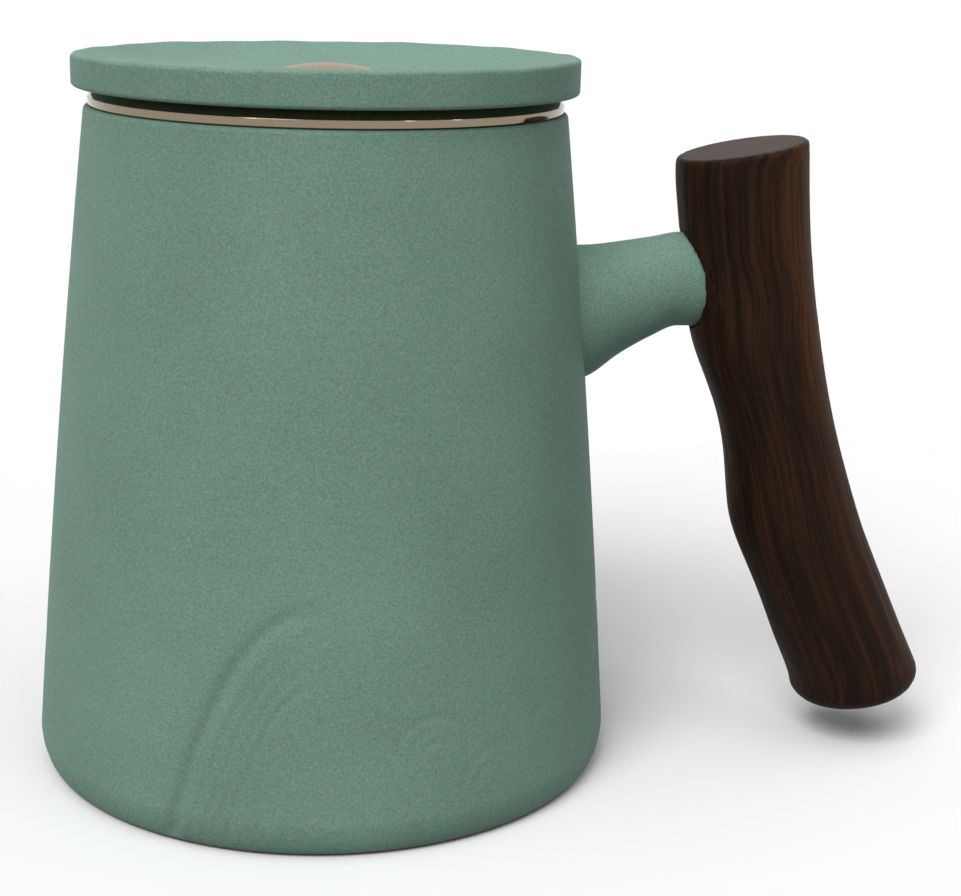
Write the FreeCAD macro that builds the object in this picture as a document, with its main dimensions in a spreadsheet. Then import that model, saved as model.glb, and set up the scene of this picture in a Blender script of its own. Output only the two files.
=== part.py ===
# Lidded tea mug with a lift-out infuser and a branch-shaped wooden grip.
# Millimetres, +Z up. The origin is on the mug's axis in the plane of its foot, and the grip is on +X.
import FreeCAD, Part
import os
import Sketcher

os.makedirs("parts", exist_ok=True)
doc = FreeCAD.newDocument("tea_mug")
sheet = doc.addObject("Spreadsheet::Sheet", "Sizes")

# Driving dimensions: alias, value, what it is.
SIZES = [
    ("mouth_radius", 40.0, "outer radius of the mug's mouth"),
    ("belly_radius", 45.4, "outer radius halfway up the wall"),
    ("base_radius", 49.8, "outer radius where the base rounding starts"),
    ("body_height", 112.4, "foot to mouth"),
    ("base_round_rise", 5.8, "height of the rounding above the foot"),
    ("base_round_run", 2.2, "how far the rounding draws the foot in"),
    ("wall", 3.6, "stoneware wall"),
    ("belly_wall", 3.9, "stoneware wall halfway up"),
    ("base_wall", 4.3, "stoneware wall just above the floor"),
    ("floor_height", 5.4, "foot plane to the floor inside"),
    ("floor_round", 7.0, "inside corner between the floor and the wall"),
    ("foot_width", 4.6, "radial width of the bare foot ring"),
    ("foot_recess", 1.5, "depth of the hollow inside the foot ring"),
    ("foot_slope", 1.2, "width of the slope up into that hollow"),
    ("lip_round", 0.8, "rounding of the mouth's two edges"),
    ("stub_height", 84.2, "height of the ceramic stub's axis at the grip"),
    ("stub_length", 22.1, "outer wall to the flat end of the stub"),
    ("stub_half_width", 7.0, "half width of the stub where it enters the grip"),
    ("stub_half_height", 8.1, "half height of the stub where it enters the grip"),
    ("seat_clearance", 0.15, "gap round the stub in the grip's seat"),
    ("stud_radius", 3.0, "outer radius of the steel stud"),
    ("stud_in_stub", 13.0, "length of the stud inside the stub"),
    ("stud_in_grip", 8.0, "length of the stud inside the grip"),
    ("stud_chamfer", 0.6, "chamfer on the stud's ends"),
    ("stud_groove", 0.4, "depth of the stud's ring grooves"),
    ("stud_pitch", 2.0, "spacing of the stud's ring grooves"),
    ("stud_grooves", 10, "number of ring grooves"),
    ("bond_gap", 0.8, "thickness of the epoxy round the stud"),
    ("bond_end", 1.0, "thickness of the epoxy behind the stud's end"),
    ("insert_wall", 1.4, "wall of the brass insert in the grip"),
    ("insert_end", 1.0, "free length of the insert beyond the stud"),
    ("collar_thickness", 0.8, "thickness of the insert's collar"),
    ("collar_width", 1.3, "how far the collar stands out past the insert"),
    ("grip_top_rise", 22.8, "stub axis up to the middle of the sawn top"),
    ("grip_top_slant", 4.2, "how much the sawn top climbs over the slant span"),
    ("grip_end_fall", 76.0, "stub axis down to the middle of the lower end"),
    ("grip_end_slant", 4.4, "how much the lower end climbs over the slant span"),
    ("slant_span", 22.0, "width over which the two slants are measured"),
    ("grip_top_middle", 5.9, "middle of the sawn top beyond the flat end of the stub"),
    ("grip_end_middle", 32.0, "middle of the lower end beyond the flat end of the stub"),
    ("cut_reach", 40.0, "size of the blocks that cut the grip's ends"),
    ("grip_top_round", 0.9, "rounding of the sawn top's edge"),
    ("grip_end_round", 3.2, "rounding of the lower end's edge"),
    ("rim_height", 3.1, "height of the infuser's rolled rim above the mouth"),
    ("rim_inset", 0.7, "how far the rolled rim stays inside the mug's outer wall"),
    ("rim_round", 1.2, "outer rounding of the rolled rim"),
    ("rim_inner_round", 0.9, "rounding of the rim's inner edge"),
    ("rim_sheet", 0.5, "steel sheet of the rim"),
    ("curl_gap", 0.5, "gap between the curled edge and the neck"),
    ("neck_clearance", 0.8, "gap between the infuser's neck and the mouth"),
    ("neck_depth", 9.0, "length of the neck below the mouth"),
    ("sleeve_sheet", 0.5, "steel sheet of the sieve's wall"),
    ("sleeve_lap", 6.0, "overlap of the sieve with the neck"),
    ("basket_depth", 78.0, "mouth plane down to the infuser's bottom"),
    ("slot_width", 1.5, "width of the sieve's slots"),
    ("slot_length", 8.0, "length of the sieve's slots"),
    ("slot_rows", 5, "rows of slots"),
    ("slot_columns", 36, "slots round the sieve"),
    ("slot_step", 12.0, "height from one row of slots to the next"),
    ("slot_first", 10.5, "middle of the lowest slots above the infuser's bottom"),
    ("pan_sheet", 0.5, "steel sheet of the sieve's bottom"),
    ("pan_flange", 2.4, "height of the bottom's upturned edge"),
    ("pan_round", 1.5, "rounding of the bottom's corner"),
    ("drain_radius", 0.9, "radius of the holes in the bottom"),
    ("drain_step", 6.0, "spacing between rings of drain holes"),
    ("lid_overhang", 1.8, "how far the lid stands out past the mug's mouth"),
    ("lid_thickness", 5.3, "height of the lid's edge"),
    ("lid_recess", 2.7, "depth of the dish in the lid's top"),
    ("lid_border", 1.4, "width of the raised border round the dish"),
    ("lid_slope", 15.0, "width of the curved slope from the border to the dish's flat middle"),
    ("lid_top_round", 0.7, "rounding of the lid's top edge"),
    ("lid_low_round", 0.7, "rounding of the lid's lower edge"),
    ("plug_clearance", 0.6, "gap between the lid's plug and the sieve"),
    ("plug_depth", 5.0, "length of the plug below the rim"),
    ("plug_wall", 3.2, "thickness of the plug's ring"),
    ("plug_round", 0.9, "rounding of the plug's lower edges"),
    ("badge_radius", 7.2, "radius of the badge in the lid"),
    ("badge_thickness", 0.8, "thickness of the badge at its edge"),
    ("badge_crown", 0.6, "how much the badge swells in its middle"),
    ("badge_flat", 1.2, "radius of the badge's flat middle"),
    ("badge_sink", 0.5, "how deep the badge is let into the lid"),
    ("badge_clearance", 0.1, "gap round the badge"),
]

# Stations of the stub: reach from the outer wall, drop below the stub's axis, half width, half height.
STUB = [
    (-2.5, 6.7, 10.2, 12.2),
    (3.0, 5.6, 9.4, 11.3),
    (7.7, 3.5, 8.3, 9.85),
    (13.0, 1.5, 7.4, 8.7),
    (18.1, 0.0, 7.0, 8.1),
]

# Stations of the grip, top to bottom: rise above the stub's axis, how far the middle lies beyond
# the flat end of the stub, half width along X, half depth along Y.
GRIP = [
    (31.0, 5.4, 11.0, 11.7),
    (22.5, 5.9, 11.1, 11.8),
    (14.0, 6.35, 11.3, 11.9),
    (0.0, 8.2, 11.2, 12.0),
    (-11.0, 10.3, 11.2, 12.0),
    (-21.4, 13.6, 10.3, 11.6),
    (-28.8, 15.75, 10.3, 11.5),
    (-36.2, 17.6, 11.0, 11.8),
    (-43.7, 19.6, 11.8, 12.0),
    (-51.2, 22.8, 11.9, 12.1),
    (-58.9, 26.3, 11.9, 12.2),
    (-66.6, 29.7, 12.1, 12.3),
    (-75.0, 33.0, 12.0, 12.3),
    (-88.0, 37.8, 11.9, 12.2),
]


def fill_sheet():
    """Writes the driving dimensions and the stations into the sheet, each with its alias."""
    rows = list(SIZES)
    for name, parts, stations in (
        ("stub", ("reach", "drop", "half_width", "half_height"), STUB),
        ("grip", ("rise", "middle", "half_width", "half_depth"), GRIP),
    ):
        for place, station in enumerate(stations, 1):
            for part, value in zip(parts, station):
                rows.append((f"{name}_{part}_{place}", value, f"{name} station {place}, {part}"))
    for row, (alias, value, words) in enumerate(rows, 1):
        sheet.set(f"A{row}", words)
        sheet.set(f"B{row}", str(value))
        sheet.setAlias(f"B{row}", alias)
    doc.recompute()


def number(expression):
    """The number that an expression of cells gives now."""
    return float(sheet.evalExpression(expression))


fill_sheet()

# Places that several pieces share, as expressions of the sheet's cells.
MOUTH = "Sizes.body_height"
MOUTH_BORE = "(Sizes.mouth_radius - Sizes.wall)"
RIM_TOP = "(Sizes.body_height + Sizes.rim_height)"
NECK_OUT = f"({MOUTH_BORE} - Sizes.neck_clearance)"
NECK_IN = f"({NECK_OUT} - Sizes.rim_sheet)"
SLEEVE_IN = f"({NECK_IN} - Sizes.sleeve_sheet)"
PLUG_OUT = f"({SLEEVE_IN} - Sizes.plug_clearance)"
BASKET_LOW = "(Sizes.body_height - Sizes.basket_depth)"
NECK_LOW = "(Sizes.body_height - Sizes.neck_depth)"
LID_RADIUS = "(Sizes.mouth_radius + Sizes.lid_overhang)"
LID_TOP = f"({RIM_TOP} + Sizes.lid_thickness)"
DISH_FLOOR = f"({LID_TOP} - Sizes.lid_recess)"
WALL_AT_STUB = (
    "(Sizes.mouth_radius + (Sizes.base_radius - Sizes.mouth_radius)"
    " * (1 - Sizes.stub_height / Sizes.body_height))"
)
SEAT = f"({WALL_AT_STUB} + Sizes.stub_length)"
SOCKET_RADIUS = "(Sizes.stud_radius + Sizes.bond_gap)"
SOCKET_DEPTH = "(Sizes.stud_in_stub + Sizes.bond_end)"
INSERT_RADIUS = "(Sizes.stud_radius + Sizes.insert_wall)"
INSERT_LENGTH = "(Sizes.stud_in_grip + Sizes.insert_end)"
COLLAR_RADIUS = f"({INSERT_RADIUS} + Sizes.collar_width)"
AXIS_HEIGHT = "Sizes.stub_height"
BEVEL = "(1 - sqrt(0.5))"


def new_body(name):
    """An empty body whose Label names its file."""
    body = doc.addObject("PartDesign::Body", name)
    body.Label = name
    return body


def origin_part(body, role):
    """One of the body's own origin planes or axes."""
    return next(f for f in body.Origin.OriginFeatures if f.Role == role)


def new_sketch(body, name, role, offset=None):
    """A sketch on an origin plane of the body, moved along the plane's normal by an expression."""
    sketch = body.newObject("Sketcher::SketchObject", name)
    sketch.AttachmentSupport = [(origin_part(body, role), "")]
    sketch.MapMode = "FlatFace"
    if offset is not None:
        sketch.setExpression("AttachmentOffset.Base.z", offset)
    return sketch


def bind(sketch, constraint, expression):
    """Adds a constraint and ties its value to an expression."""
    made = sketch.addConstraint(constraint)
    sketch.setExpression(f"Constraints[{made}]", expression)


def fix_point(sketch, index, position, across, up):
    """Ties a point of the sketch to two expressions, measured from the sketch's origin."""
    for kind, expression, axis in (("DistanceX", across, -2), ("DistanceY", up, -1)):
        value = number(expression)
        if value == 0:
            sketch.addConstraint(Sketcher.Constraint("PointOnObject", index, position, axis))
        else:
            point = Sketcher.Constraint(kind, -1, 1, index, position, value)
            bind(sketch, point, expression)


def outline(sketch, start, steps):
    """Draws a closed outline. Each step is (end,) for a line or (through, end) for an arc."""
    points = [start] + [step[-1] for step in steps]
    places = [FreeCAD.Vector(number(a), number(b), 0) for a, b in points]
    if (places[-1] - places[0]).Length > 1e-6:
        points.append(start)
        places.append(places[0])
        steps = list(steps) + [(start,)]
    made = []
    for place, step in enumerate(steps):
        first, last = places[place], places[place + 1]
        if len(step) == 1:
            edge = Part.LineSegment(first, last)
            ends = (1, 2)
        else:
            middle = FreeCAD.Vector(number(step[0][0]), number(step[0][1]), 0)
            edge = Part.Arc(first, middle, last)
            turn = (middle - first).cross(last - middle).z
            ends = (1, 2) if turn > 0 else (2, 1)
        made.append((sketch.addGeometry(edge, False), ends))
    for place, (index, ends) in enumerate(made):
        following, next_ends = made[(place + 1) % len(made)]
        join = Sketcher.Constraint("Coincident", index, ends[1], following, next_ends[0])
        sketch.addConstraint(join)
    for place, (across, up) in enumerate(points[:-1]):
        index, ends = made[place]
        fix_point(sketch, index, ends[0], across, up)
    for place, step in enumerate(steps):
        if len(step) == 2:
            across, up = step[0]
            middle = FreeCAD.Vector(number(across), number(up), 0)
            point = sketch.addGeometry(Part.Point(middle), True)
            fix_point(sketch, point, 1, across, up)
            sketch.addConstraint(Sketcher.Constraint("PointOnObject", point, 1, made[place][0]))


def circle(sketch, across, up, radius):
    """A circle tied to the sheet by its centre and its radius."""
    centre = FreeCAD.Vector(number(across), number(up), 0)
    round_edge = Part.Circle(centre, FreeCAD.Vector(0, 0, 1), number(radius))
    index = sketch.addGeometry(round_edge, False)
    fix_point(sketch, index, 3, across, up)
    bind(sketch, Sketcher.Constraint("Radius", index, number(radius)), radius)


def oval(sketch, across, up, half_across, half_up):
    """An upright ellipse tied to the sheet by its centre and its two half axes."""
    centre = FreeCAD.Vector(number(across), number(up), 0)
    top = centre + FreeCAD.Vector(0, number(half_up), 0)
    side = centre + FreeCAD.Vector(number(half_across), 0, 0)
    index = sketch.addGeometry(Part.Ellipse(top, side, centre), False)
    sketch.exposeInternalGeometry(index)
    fix_point(sketch, index, 3, across, up)
    long_axis, short_axis = index + 1, index + 2
    sketch.addConstraint(Sketcher.Constraint("Vertical", long_axis))
    for axis, half in ((long_axis, half_up), (short_axis, half_across)):
        bind(sketch, Sketcher.Constraint("Distance", axis, 2 * number(half)), f"2 * ({half})")


def turned(body, name, start, steps, kind="PartDesign::Revolution"):
    """Adds or cuts a solid turned about Z from an outline given as radius and height."""
    sketch = new_sketch(body, f"{name}_outline", "XZ_Plane")
    outline(sketch, start, steps)
    doc.recompute()
    turn = body.newObject(kind, f"{name}_turn")
    turn.Profile = sketch
    turn.ReferenceAxis = (sketch, ["V_Axis"])
    turn.Angle = 360.0
    doc.recompute()
    return turn


def rod(body, name, offset, size, length, kind="PartDesign::Pad", backwards=False):
    """Adds or cuts a rod along X on the stub's axis, from an offset along X.

    size is its radius, or its half width and half height where it is oval.
    """
    sketch = new_sketch(body, f"{name}_outline", "YZ_Plane", offset)
    if isinstance(size, tuple):
        oval(sketch, "0", AXIS_HEIGHT, *size)
    else:
        circle(sketch, "0", AXIS_HEIGHT, size)
    doc.recompute()
    before = body.Shape.Volume if body.Tip else 0.0
    feature = body.newObject(kind, f"{name}_rod")
    feature.Profile = sketch
    feature.setExpression("Length", length)
    feature.Reversed = backwards
    doc.recompute()
    if abs(body.Shape.Volume - before) < 1e-6:
        raise RuntimeError(f"{name} changes nothing")
    return feature


def quarter(radius, side, height, end, size):
    """The middle of a quarter-round corner at a radius and a height.

    side is '-' where the corner's round lies inside the radius and '+' where it lies outside,
    and end says the same for the height.
    """
    return f"{radius} {side} {size} * {BEVEL}", f"{height} {end} {size} * {BEVEL}"


# Mug body.

mug = new_body("mug_body")
foot_radius = "(Sizes.base_radius - Sizes.base_round_run)"
wall_middle = "(Sizes.base_round_rise / 2 + Sizes.body_height / 2)"
lip_out = "(Sizes.mouth_radius - Sizes.lip_round)"
lip_in = f"({MOUTH_BORE} + Sizes.lip_round)"
lip_low = "(Sizes.body_height - Sizes.lip_round)"
foot_in = f"({foot_radius} - Sizes.foot_width)"
turned(
    mug,
    "mug_outside",
    ("0", "Sizes.foot_recess"),
    [
        ((f"{foot_in} - Sizes.foot_slope", "Sizes.foot_recess"),),
        ((foot_in, "0"),),
        ((foot_radius, "0"),),
        (
            (
                f"{foot_radius} + Sizes.base_round_run * sqrt(0.5)",
                f"Sizes.base_round_rise * {BEVEL}",
            ),
            ("Sizes.base_radius", "Sizes.base_round_rise"),
        ),
        (("Sizes.belly_radius", wall_middle), ("Sizes.mouth_radius", lip_low)),
        (quarter("Sizes.mouth_radius", "-", MOUTH, "-", "Sizes.lip_round"), (lip_out, MOUTH)),
        (("0", MOUTH),),
    ],
)

floor_in = "(Sizes.base_radius - Sizes.base_wall)"
floor_top = "(Sizes.floor_height + Sizes.floor_round)"
inner_middle = f"({floor_top} + Sizes.body_height) / 2"
turned(
    mug,
    "mug_hollow",
    ("0", "Sizes.floor_height"),
    [
        ((f"{floor_in} - Sizes.floor_round", "Sizes.floor_height"),),
        (
            quarter(floor_in, "-", "Sizes.floor_height", "+", "Sizes.floor_round"),
            (floor_in, floor_top),
        ),
        (
            ("Sizes.belly_radius - Sizes.belly_wall", inner_middle),
            (MOUTH_BORE, lip_low),
        ),
        (quarter(MOUTH_BORE, "+", MOUTH, "-", "Sizes.lip_round"), (lip_in, MOUTH)),
        ((lip_in, f"{MOUTH} + 1"),),
        (("0", f"{MOUTH} + 1"),),
    ],
    "PartDesign::Groove",
)

# Ceramic stub, luted to the wall.

stub = new_body("handle_stub")
stub_sections = []
for station in range(1, len(STUB) + 1):
    section = new_sketch(
        stub, f"stub_section_{station}", "YZ_Plane", f"{WALL_AT_STUB} + Sizes.stub_reach_{station}"
    )
    oval(
        section,
        "0",
        f"{AXIS_HEIGHT} - Sizes.stub_drop_{station}",
        f"Sizes.stub_half_width_{station}",
        f"Sizes.stub_half_height_{station}",
    )
    stub_sections.append(section)
doc.recompute()
stub_loft = stub.newObject("PartDesign::AdditiveLoft", "stub_loft")
stub_loft.Profile = stub_sections[0]
stub_loft.Sections = stub_sections[1:]
doc.recompute()
last = len(STUB)
rod(
    stub,
    "stub_end",
    f"{WALL_AT_STUB} + Sizes.stub_reach_{last}",
    ("Sizes.stub_half_width", "Sizes.stub_half_height"),
    f"Sizes.stub_length - Sizes.stub_reach_{last}",
)
turned(
    stub,
    "wall_cut",
    ("0", "Sizes.base_round_rise"),
    [
        (("Sizes.base_radius", "Sizes.base_round_rise"),),
        (("Sizes.belly_radius", wall_middle), ("Sizes.mouth_radius", lip_low)),
        (("0", lip_low),),
    ],
    "PartDesign::Groove",
)
rod(stub, "stub_socket", SEAT, SOCKET_RADIUS, SOCKET_DEPTH, "PartDesign::Pocket")

# Wooden grip and its fixing.

grip = new_body("handle_grip")
grip_sections = []
for station in range(1, len(GRIP) + 1):
    section = new_sketch(
        grip, f"grip_section_{station}", "XY_Plane", f"{AXIS_HEIGHT} + Sizes.grip_rise_{station}"
    )
    oval(
        section,
        f"{SEAT} + Sizes.grip_middle_{station}",
        "0",
        f"Sizes.grip_half_width_{station}",
        f"Sizes.grip_half_depth_{station}",
    )
    grip_sections.append(section)
doc.recompute()
branch = grip.newObject("PartDesign::AdditiveLoft", "grip_loft")
branch.Profile = grip_sections[0]
branch.Sections = grip_sections[1:]
doc.recompute()


def saw(name, middle, height, slant, beyond):
    """Cuts the grip's end off along a slanted plane. beyond is the side that falls away."""
    left = f"{SEAT} + {middle} - Sizes.cut_reach"
    right = f"{SEAT} + {middle} + Sizes.cut_reach"
    climb = f"{slant} * Sizes.cut_reach / Sizes.slant_span"
    sketch = new_sketch(grip, f"{name}_outline", "XZ_Plane")
    outline(
        sketch,
        (left, f"{height} - {climb}"),
        [
            ((right, f"{height} + {climb}"),),
            ((right, f"{height} {beyond} Sizes.cut_reach"),),
            ((left, f"{height} {beyond} Sizes.cut_reach"),),
        ],
    )
    doc.recompute()
    cut = grip.newObject("PartDesign::Pocket", f"{name}_cut")
    cut.Profile = sketch
    cut.Type = "ThroughAll"
    cut.Midplane = True
    doc.recompute()


def round_end(name, size, highest):
    """Rounds the edge of the grip's highest or lowest flat face."""
    flats = [f for f in grip.Shape.Faces if isinstance(f.Surface, Part.Plane)]
    flats.sort(key=lambda f: f.CenterOfMass.z)
    face = flats[-1] if highest else flats[0]
    names = []
    for place, edge in enumerate(grip.Shape.Edges, 1):
        if any(edge.isSame(other) for other in face.Edges):
            names.append(f"Edge{place}")
    tip = grip.Tip
    fillet = grip.newObject("PartDesign::Fillet", name)
    fillet.Base = (tip, names)
    fillet.setExpression("Radius", size)
    doc.recompute()


saw(
    "grip_top",
    "Sizes.grip_top_middle",
    f"({AXIS_HEIGHT} + Sizes.grip_top_rise)",
    "Sizes.grip_top_slant",
    "+",
)
saw(
    "grip_end",
    "Sizes.grip_end_middle",
    f"({AXIS_HEIGHT} - Sizes.grip_end_fall)",
    "Sizes.grip_end_slant",
    "-",
)
round_end("grip_end_fillet", "Sizes.grip_end_round", False)
round_end("grip_top_fillet", "Sizes.grip_top_round", True)
rod(
    grip,
    "grip_seat",
    SEAT,
    (
        "Sizes.stub_half_width + Sizes.seat_clearance",
        "Sizes.stub_half_height + Sizes.seat_clearance",
    ),
    "Sizes.stub_length",
    "PartDesign::Pocket",
)
rod(grip, "collar_seat", SEAT, COLLAR_RADIUS, "Sizes.collar_thickness", "PartDesign::Pocket", True)
rod(grip, "insert_hole", SEAT, INSERT_RADIUS, INSERT_LENGTH, "PartDesign::Pocket", True)

insert = new_body("grip_insert")
rod(insert, "insert_collar", SEAT, COLLAR_RADIUS, "Sizes.collar_thickness")
rod(insert, "insert_barrel", SEAT, INSERT_RADIUS, INSERT_LENGTH)
rod(insert, "insert_bore", SEAT, "Sizes.stud_radius", INSERT_LENGTH, "PartDesign::Pocket", True)

stud = new_body("handle_stud")
stud_start = f"{SEAT} - Sizes.stud_in_stub"
rod(stud, "stud_shank", stud_start, "Sizes.stud_radius", "Sizes.stud_in_stub + Sizes.stud_in_grip")
stud_tip = stud.Tip
chamfer = stud.newObject("PartDesign::Chamfer", "stud_ends")
rims = [
    f"Edge{place}"
    for place, edge in enumerate(stud.Shape.Edges, 1)
    if isinstance(edge.Curve, Part.Circle)
]
chamfer.Base = (stud_tip, rims)
chamfer.setExpression("Size", "Sizes.stud_chamfer")
doc.recompute()
ring = new_sketch(stud, "stud_ring_outline", "XZ_Plane")
ring_start = f"{stud_start} + Sizes.stud_pitch"
stud_top = f"{AXIS_HEIGHT} + Sizes.stud_radius"
outline(
    ring,
    (f"{ring_start} - Sizes.stud_groove", f"{stud_top} + 0.01"),
    [
        ((f"{ring_start} + Sizes.stud_groove", f"{stud_top} + 0.01"),),
        ((ring_start, f"{stud_top} - Sizes.stud_groove"),),
    ],
)
left_end = FreeCAD.Vector(number(stud_start), number(AXIS_HEIGHT), 0)
right_end = FreeCAD.Vector(number(SEAT), number(AXIS_HEIGHT), 0)
centre_line = ring.addGeometry(Part.LineSegment(left_end, right_end), True)
fix_point(ring, centre_line, 1, stud_start, AXIS_HEIGHT)
fix_point(ring, centre_line, 2, SEAT, AXIS_HEIGHT)
doc.recompute()
ring_cut = stud.newObject("PartDesign::Groove", "stud_ring_cut")
ring_cut.Profile = ring
ring_cut.ReferenceAxis = (ring, ["Axis0"])
ring_cut.Angle = 360.0
doc.recompute()
rings = stud.newObject("PartDesign::LinearPattern", "stud_rings")
rings.Originals = [ring_cut]
rings.Direction = (ring, ["H_Axis"])
rings.setExpression("Length", "Sizes.stud_pitch * (Sizes.stud_grooves - 1)")
rings.setExpression("Occurrences", "Sizes.stud_grooves")
stud.Tip = rings
doc.recompute()

bond = new_body("stud_adhesive")
rod(bond, "bond_plug", SEAT, SOCKET_RADIUS, SOCKET_DEPTH, backwards=True)
rod(bond, "bond_bore", SEAT, "Sizes.stud_radius", "Sizes.stud_in_stub", "PartDesign::Pocket")

# Infuser.

rim = new_body("infuser_rim")
rim_in_round = "(Sizes.rim_inner_round - Sizes.rim_sheet)"
rim_out_round = "(Sizes.rim_round - Sizes.rim_sheet)"
rim_edge = "(Sizes.mouth_radius - Sizes.rim_inset)"
rim_out = f"({rim_edge} - Sizes.rim_sheet)"
rim_under = f"({RIM_TOP} - Sizes.rim_sheet)"
rim_floor = f"({MOUTH} + Sizes.rim_sheet)"
curl_end = f"({NECK_OUT} + Sizes.curl_gap)"
turned(
    rim,
    "rim_sheet_metal",
    (NECK_IN, NECK_LOW),
    [
        ((NECK_IN, f"{RIM_TOP} - Sizes.rim_inner_round"),),
        (
            quarter(NECK_IN, "+", RIM_TOP, "-", "Sizes.rim_inner_round"),
            (f"{NECK_IN} + Sizes.rim_inner_round", RIM_TOP),
        ),
        ((f"{rim_edge} - Sizes.rim_round", RIM_TOP),),
        (
            quarter(rim_edge, "-", RIM_TOP, "-", "Sizes.rim_round"),
            (rim_edge, f"{RIM_TOP} - Sizes.rim_round"),
        ),
        ((rim_edge, f"{MOUTH} + Sizes.rim_round"),),
        (
            quarter(rim_edge, "-", MOUTH, "+", "Sizes.rim_round"),
            (f"{rim_edge} - Sizes.rim_round", MOUTH),
        ),
        ((curl_end, MOUTH),),
        ((curl_end, rim_floor),),
        ((f"{rim_out} - {rim_out_round}", rim_floor),),
        (
            quarter(rim_out, "-", rim_floor, "+", rim_out_round),
            (rim_out, f"{rim_floor} + {rim_out_round}"),
        ),
        ((rim_out, f"{rim_under} - {rim_out_round}"),),
        (
            quarter(rim_out, "-", rim_under, "-", rim_out_round),
            (f"{rim_out} - {rim_out_round}", rim_under),
        ),
        ((f"{NECK_OUT} + {rim_in_round}", rim_under),),
        (
            quarter(NECK_OUT, "+", rim_under, "-", rim_in_round),
            (NECK_OUT, f"{rim_under} - {rim_in_round}"),
        ),
        ((NECK_OUT, NECK_LOW),),
    ],
)

sleeve = new_body("infuser_wall")
turned(
    sleeve,
    "sleeve",
    (SLEEVE_IN, f"{BASKET_LOW} + Sizes.pan_round"),
    [
        ((NECK_IN, f"{BASKET_LOW} + Sizes.pan_round"),),
        ((NECK_IN, f"{NECK_LOW} + Sizes.sleeve_lap"),),
        ((SLEEVE_IN, f"{NECK_LOW} + Sizes.sleeve_lap"),),
    ],
)
slots = new_sketch(sleeve, "slot_outlines", "YZ_Plane", f"{SLEEVE_IN} - 1")
half_slot = "Sizes.slot_width / 2"
straight = "(Sizes.slot_length - Sizes.slot_width) / 2"
for row in range(int(number("Sizes.slot_rows"))):
    slot_middle = f"({BASKET_LOW} + Sizes.slot_first + Sizes.slot_step * {row})"
    outline(
        slots,
        (f"-{half_slot}", f"{slot_middle} - {straight}"),
        [
            (
                ("0", f"{slot_middle} - Sizes.slot_length / 2"),
                (half_slot, f"{slot_middle} - {straight}"),
            ),
            ((half_slot, f"{slot_middle} + {straight}"),),
            (
                ("0", f"{slot_middle} + Sizes.slot_length / 2"),
                (f"-{half_slot}", f"{slot_middle} + {straight}"),
            ),
        ],
    )
doc.recompute()
whole = sleeve.Shape.Volume
slot_cut = sleeve.newObject("PartDesign::Pocket", "slot_cut")
slot_cut.Profile = slots
slot_cut.setExpression("Length", "Sizes.sleeve_sheet + 2")
slot_cut.Reversed = True
doc.recompute()
if sleeve.Shape.Volume > whole - 1:
    raise RuntimeError("the slot misses the sleeve")
around_sleeve = sleeve.newObject("PartDesign::PolarPattern", "slot_pattern")
around_sleeve.Originals = [slot_cut]
around_sleeve.Axis = (origin_part(sleeve, "Z_Axis"), [""])
around_sleeve.Angle = 360.0
around_sleeve.setExpression("Occurrences", "Sizes.slot_columns")
sleeve.Tip = around_sleeve
doc.recompute()

pan = new_body("infuser_base")
pan_top = f"({BASKET_LOW} + Sizes.pan_sheet)"
pan_in = f"({SLEEVE_IN} - Sizes.pan_sheet)"
pan_in_round = "(Sizes.pan_round - Sizes.pan_sheet)"
turned(
    pan,
    "pan",
    ("0", BASKET_LOW),
    [
        ((f"{SLEEVE_IN} - Sizes.pan_round", BASKET_LOW),),
        (
            quarter(SLEEVE_IN, "-", BASKET_LOW, "+", "Sizes.pan_round"),
            (SLEEVE_IN, f"{BASKET_LOW} + Sizes.pan_round"),
        ),
        ((SLEEVE_IN, f"{BASKET_LOW} + Sizes.pan_flange"),),
        ((pan_in, f"{BASKET_LOW} + Sizes.pan_flange"),),
        ((pan_in, f"{pan_top} + {pan_in_round}"),),
        (
            quarter(pan_in, "-", pan_top, "+", pan_in_round),
            (f"{pan_in} - {pan_in_round}", pan_top),
        ),
        (("0", pan_top),),
    ],
)
drains = new_sketch(pan, "drain_sector", "XY_Plane", f"{BASKET_LOW} - 1")
for ring_number in range(1, 6):
    for place in range(ring_number):
        angle = 60.0 * place / ring_number
        circle(
            drains,
            f"Sizes.drain_step * {ring_number} * cos({angle:g})",
            f"Sizes.drain_step * {ring_number} * sin({angle:g})",
            "Sizes.drain_radius",
        )
doc.recompute()
drain_cut = pan.newObject("PartDesign::Pocket", "drain_cut")
drain_cut.Profile = drains
drain_cut.setExpression("Length", "Sizes.pan_sheet + 2")
drain_cut.Reversed = True
doc.recompute()
around = pan.newObject("PartDesign::PolarPattern", "drain_pattern")
around.Originals = [drain_cut]
around.Axis = (drains, ["N_Axis"])
around.Angle = 360.0
around.Occurrences = 6
pan.Tip = around
doc.recompute()

# Lid.

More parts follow.
